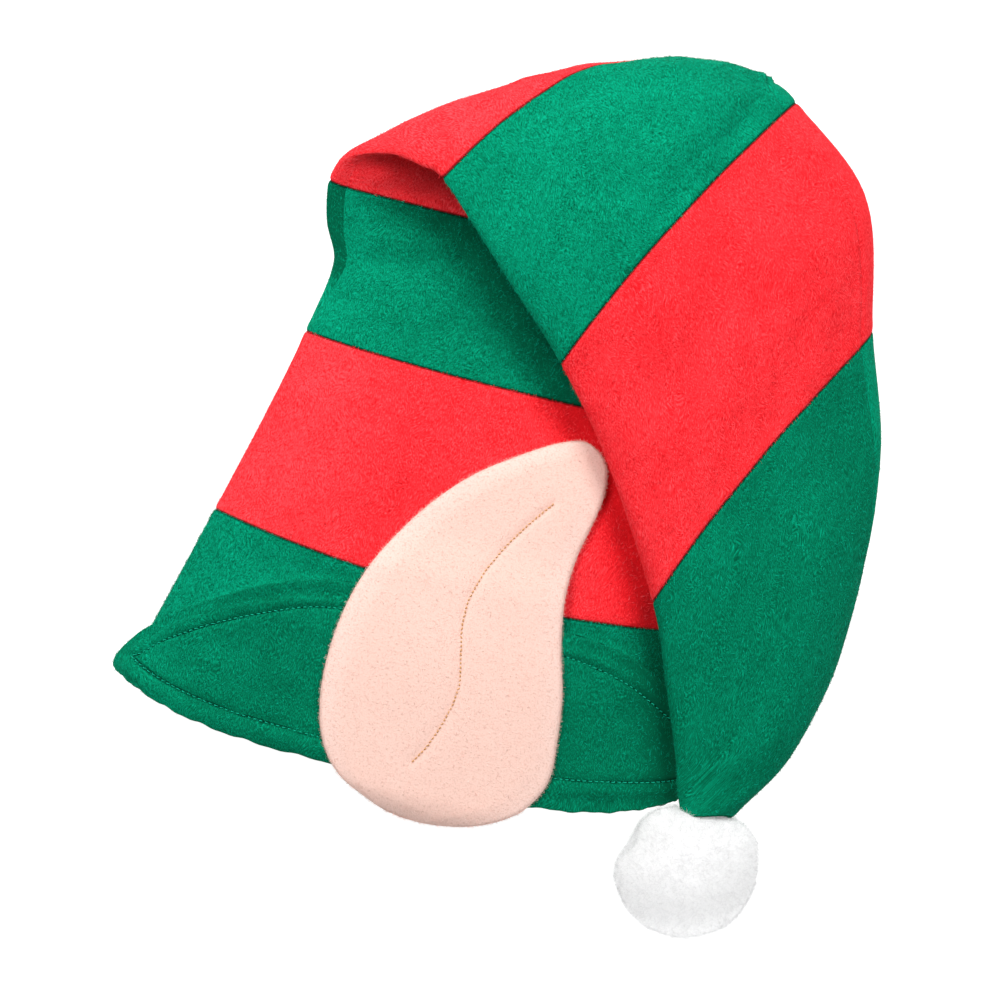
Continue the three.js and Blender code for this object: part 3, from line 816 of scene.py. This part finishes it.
def ear_piece(name, bed, scale, count, fibres_count, seed):
    """A soft sheet with rounded edges, pressed along its sewn line, and its short pile."""
    a = 0.5 - 0.5 * np.cos(np.linspace(0, math.pi, count[1]))
    a = -.0075 + 1.0155 * a
    t = 0.5 - 0.5 * np.cos(np.linspace(0, math.pi, count[0]))
    front, back = read(ear_outline, "along", "front", a), read(ear_outline, "along", "back", a)
    along = np.broadcast_to(a[:, None], (len(a), len(t)))
    side = front[:, None] + (back - front)[:, None] * t[None]
    plan = ear_place(along, side, scale)
    to_edge = np.minimum(np.minimum(t, 1 - t)[None] * (back - front)[:, None] * 0.96,
                         np.minimum(a + .0075, 1.008 - a)[:, None] * 1.6) * ear_length * scale
    line = np.array(ear_line)
    fine = np.stack([np.interp(np.linspace(0, 11, 120), range(12), line[:, k]) for k in range(2)], -1)
    apart = np.stack([along, side], -1)[:, :, None] - fine[None, None]
    away = np.sqrt((apart ** 2).sum(-1)).min(-1) * ear_length * scale
    height = ear_felt * (0.55 + 0.45 * np.clip(to_edge / 0.012, 0, 1) ** 0.5)
    pressed = 0.0008 * bump(away, 0, 0.0018) + 0.0002 * bump(away, 0, 0.008)
    round_off = np.sqrt(1 - (1 - np.clip(to_edge / 0.0022, 0, 1)) ** 2)
    low = bed(plan[..., 0], plan[..., 1])
    half = height * round_off / 2
    centre = low + height / 2
    upper = np.concatenate([plan, (centre + half - pressed * round_off)[..., None]], -1)
    lower = np.concatenate([plan, (centre - half)[..., None]], -1)
    points = placed(np.concatenate([upper.reshape(-1, 3), lower.reshape(-1, 3)]))
    flat = np.stack([side * ear_length, along * ear_length], -1).reshape(-1, 2)
    mark = np.concatenate([to_edge.ravel(), to_edge.ravel()])
    piece = mesh_piece(f"{name}_flannel", points, outward(points, sheet_faces(*along.shape)), [flannel],
                       np.concatenate([flat, flat]),
                       {"rim": mark, "line": np.concatenate([away.ravel(), away.ravel() + 1])})
    off = facing(placed(upper), placed(upper + np.array([0, 0, 1.0])))
    outward_way = upper - (0.75 * upper[:, [0, -1]].mean(1, keepdims=True) + 0.25 * upper.mean((0, 1)))
    off = unit(off + 1.6 * unit(outward_way) * bump(to_edge, 0, 0.0015)[..., None])
    shown = (1 - 0.95 * bump(away, 0, 0.0014)) * (1 + 6 * bump(to_edge, 0, 0.0012))
    pile = nap(f"{name}_pile", placed(upper), off, fibres_count, 0.0016, 0.0007, 0.00013, flannel_fibres,
               seed=seed, stray=75, bend=50, thick=shown)
    s = np.linspace(0, 11, 160)
    route = np.stack([np.interp(s, range(12), line[:, k]) for k in range(2)], -1)
    for _ in range(6):
        route[1:-1] = (route[:-2] + 2 * route[1:-1] + route[2:]) / 4
    spot = ear_place(route[:, 0], route[:, 1], scale)
    top = bed(spot[:, 0], spot[:, 1]) + ear_felt - 0.0010
    route = placed(np.concatenate([spot, top[:, None]], -1))
    thread = topstitch(f"{name}_line", route, np.tile([0, 0, 1.0], (len(s), 1)),
                       0.0021, 0.0018, 0.00060, [tan_thread], sink=0.0, wobble=0.45, seed=seed + 5)
    for made in (piece, pile, thread):
        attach(made, "root")
    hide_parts(name)
    cut_area(np.concatenate([plan, 0 * plan[..., :1]], -1))


def flannel_finish():
    """Cotton flannel with a short raised pile: fine specks between the fibres, faint warmer and paler
    clouds, and a thin darker line along the stitching."""
    material, start, join = finish("pale_flannel", 0.95, sheen=0.10, tint=(1, 0.93, 0.88), specular=0.1)
    cloth = start.node("ShaderNodeUVMap", {"uv_map": "cloth"}, {}, "UV")
    pile = cloth.clouds(1100, 3, 0.7)
    pits = cloth.clouds(750, 2, 0.6).clamped(0.60, 0.72)
    cloud = cloth.clouds(26, 3)
    warm = cloud.between((0.835, 0.555, 0.477, 1), (0.87, 0.595, 0.518, 1))
    edge = start.node("ShaderNodeAttribute", {"attribute_name": "rim"}, {}, "Fac")
    line = start.node("ShaderNodeAttribute", {"attribute_name": "line"}, {}, "Fac")
    paler = (1 - edge.clamped(0.0, 0.016)) * 0.55
    colour = paler.between(warm, (0.90, 0.665, 0.60, 1))
    colour = (pits * 0.30 + (0.5 - pile) * 1.3 + 0.05).clamped(0.0, 0.35).between(colour, (0.72, 0.47, 0.38, 1))
    colour = ((1 - line.clamped(0.0003, 0.0013)) * 0.35).between(colour, (0.50, 0.27, 0.15, 1))
    relief = pile + pits * -0.6
    join(Base_Color=colour, Roughness=0.86 + pile * 0.14,
         Normal=relief.node("ShaderNodeBump", {}, {"Strength": 0.5, "Distance": 0.0005, "Height": relief}))
    return material


flannel = flannel_finish()
flannel_fibres = shades("flannel_fibre", [(0.77, 0.50, 0.43), (0.85, 0.57, 0.49), (0.89, 0.62, 0.55),
                                          (0.94, 0.76, 0.70)])
tan_thread = fibre_finish("tan_thread", (0.64, 0.34, 0.12), rough=0.5, sheen=0.1)
ear_piece("ear_near", bed_height, 1.0, (84, 120), 13000, 61)
ear_piece("ear_far", lambda x, y: np.full_like(x, 0.0002), 0.97, (48, 66), 2500, 62)

# ---------------------------------------------------------------------------------------------
# The pompom: white cotton fleece, teased into a soft ball with a few lumps and tied over the
# tip of the hat. It rests on the surface and flattens a little there.
pompom_size = 0.071
pompom_lean, pompom_drop = -0.02, -0.42
lumps = [((-1.0, 0.10, 0.1), 0.42, 0.085), ((-0.86, 0.48, 0.1), 0.22, -0.085), ((-0.40, 0.90, 0.2), 0.40, 0.05),
         ((0.85, 0.52, 0.05), 0.42, 0.16), ((0.98, 0.0, 0.1), 0.5, 0.05), ((0.85, -0.42, 0.1), 0.4, 0.05),
         ((0.45, -0.85, 0.1), 0.5, 0.0), ((-0.35, -0.92, 0.1), 0.6, 0.01), ((-0.8, -0.4, 0.1), 0.45, 0.04),
         ((0.2, 0.1, 1.0), 0.7, 0.03), ((-0.4, -0.3, 0.9), 0.4, 0.02), ((0.5, 0.2, -0.8), 0.6, 0.02)]


def fleece_finish():
    """White cotton fleece: almost even, with fine matted fibres, and a faint glow of painted light."""
    material, start, join = finish("white_fleece", 0.95, sheen=0.35, specular=0.05)
    place = start.node("ShaderNodeTexCoord", {}, {}, "Object")
    matted = place.clouds(900, 4, 0.65)
    cloud = place.clouds(60, 3)
    tone = (matted - 0.5) * 0.7 + (cloud - 0.5) * 0.5 + 0.5
    relief = matted + cloud * 0.5
    shader = material.node_tree.nodes["Principled BSDF"]
    shader.inputs["Subsurface Weight"].default_value = 0.7
    shader.inputs["Subsurface Radius"].default_value = (0.008, 0.008, 0.008)
    shader.inputs["Subsurface Scale"].default_value = 1.0
    # Painted light: the fleece glows faintly, lifting its shaded side.
    shader.inputs["Emission Color"].default_value = (1, 1, 1, 1)
    shader.inputs["Emission Strength"].default_value = 0.37
    join(Base_Color=tone.between((0.55, 0.55, 0.555, 1), (0.61, 0.61, 0.61, 1)), Roughness=0.88 + matted * 0.12,
         Normal=relief.node("ShaderNodeBump", {}, {"Strength": 0.45, "Distance": 0.001, "Height": relief}))
    return material


def pompom_piece():
    tip = middle(np.array(7.0), np.array(0.0))
    radius = pompom_size / 2
    centre = np.array([tip[0] + pompom_lean * pompom_size, tip[1] + pompom_drop * pompom_size, radius - gap])
    rings, spokes = 90, 150
    polar = np.linspace(0.012, math.pi - 0.012, rings)[:, None]
    spin = np.linspace(0, 2 * math.pi, spokes + 1)[None]
    ball = np.stack([np.sin(polar) * np.cos(spin), np.sin(polar) * np.sin(spin),
                     np.cos(polar) * np.ones_like(spin)], -1)
    size = np.full(ball.shape[:2], 0.895)
    turned = math.radians(camera_turn)
    c, s = math.cos(turned), math.sin(turned)
    for (x, y, z), reach, height in lumps:
        d = unit(np.array([x * c - y * s, x * s + y * c, z]))
        size = size + height * np.exp(-(np.arccos(np.clip(ball @ d, -1, 1)) / reach) ** 2)
    random = np.random.default_rng(71)
    for scale, height in ((4, 0.012), (8, 0.008), (15, 0.005)):
        for _ in range(7):
            d, phase = unit(random.normal(size=3)), random.uniform(0, 6)
            size = size + height / 2.2 * np.sin(scale * (ball @ d) + phase)
    grid = centre + ball * (size * radius)[..., None]
    pressed = 0.0015 * np.log1p(np.exp(grid[..., 2] / 0.0015)) + 0.0005
    grid[..., 2] = np.where(grid[..., 2] > 0.006, grid[..., 2], pressed)
    ends = [grid[0, :-1].mean(0)[None], grid[-1, :-1].mean(0)[None]]
    points = placed(np.concatenate([grid[:, :-1].reshape(-1, 3), *ends]))
    i, j = np.meshgrid(np.arange(rings - 1), np.arange(spokes), indexing="ij")
    after = (j + 1) % spokes
    quads = np.stack([i * spokes + j, (i + 1) * spokes + j, (i + 1) * spokes + after, i * spokes + after], -1)
    j, after = j[0], after[0]
    pole, last = rings * spokes, (rings - 1) * spokes
    top = np.stack([np.full(spokes, pole), j, after], 1)
    low = np.stack([np.full(spokes, pole + 1), last + after, last + j], 1)
    piece = mesh_piece("pompom_head", points, [*quads.reshape(-1, 4), *top, *low], [fleece_finish()])
    off = unit(grid - centre)
    wool = shades("white_fibre", [(v, v, v * 1.005) for v in (0.70, 0.76, 0.81, 0.85)], sheen=0.3)
    locks = nap("pompom_fluff", placed(grid), off, 32000, 0.0036, 0.0011, 0.00011, wool, seed=72, stray=180, bend=70)
    for made in (piece, locks):
        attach(made, "root")
    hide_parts("pompom")


pompom_piece()

box = [list(corner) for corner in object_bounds()]
